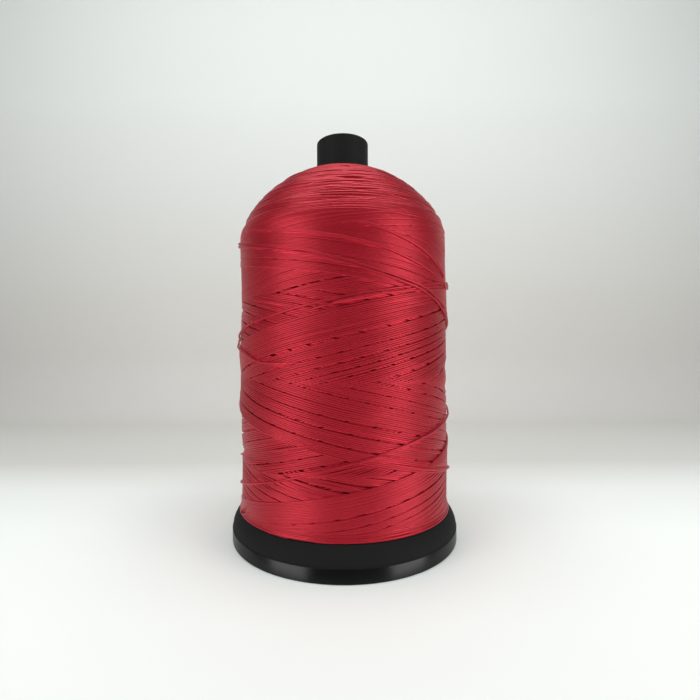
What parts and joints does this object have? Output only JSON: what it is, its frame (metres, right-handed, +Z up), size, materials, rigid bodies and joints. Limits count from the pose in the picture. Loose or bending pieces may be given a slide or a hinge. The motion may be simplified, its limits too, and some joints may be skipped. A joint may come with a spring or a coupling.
{
  "type": "spool of thread",
  "caption": "King-size thread spool: a cross-wound red package with a domed top on a straight black tube, which stands on a wider moulded foot.",
  "frame": {"origin": "centre of the foot's underside, on the surface that the spool stands on", "axes": "+Z up along the tube's axis, from the foot to the tube's top; the thread-end notch points to +X, 14 degrees towards -Y"},
  "size_m": [0.098, 0.098, 0.173],
  "materials": {
    "tube_plastic": "satin moulded",
    "base_plastic": "satin moulded",
    "thread": "bonded filament thread",
    "outer_thread": "bonded filament thread"
  },
  "bodies": {
    "root": {"core_tube": "tube_plastic", "base_flange": "base_plastic", "inner_windings": "thread", "outer_winding": "outer_thread"}
  },
  "joints": []
}
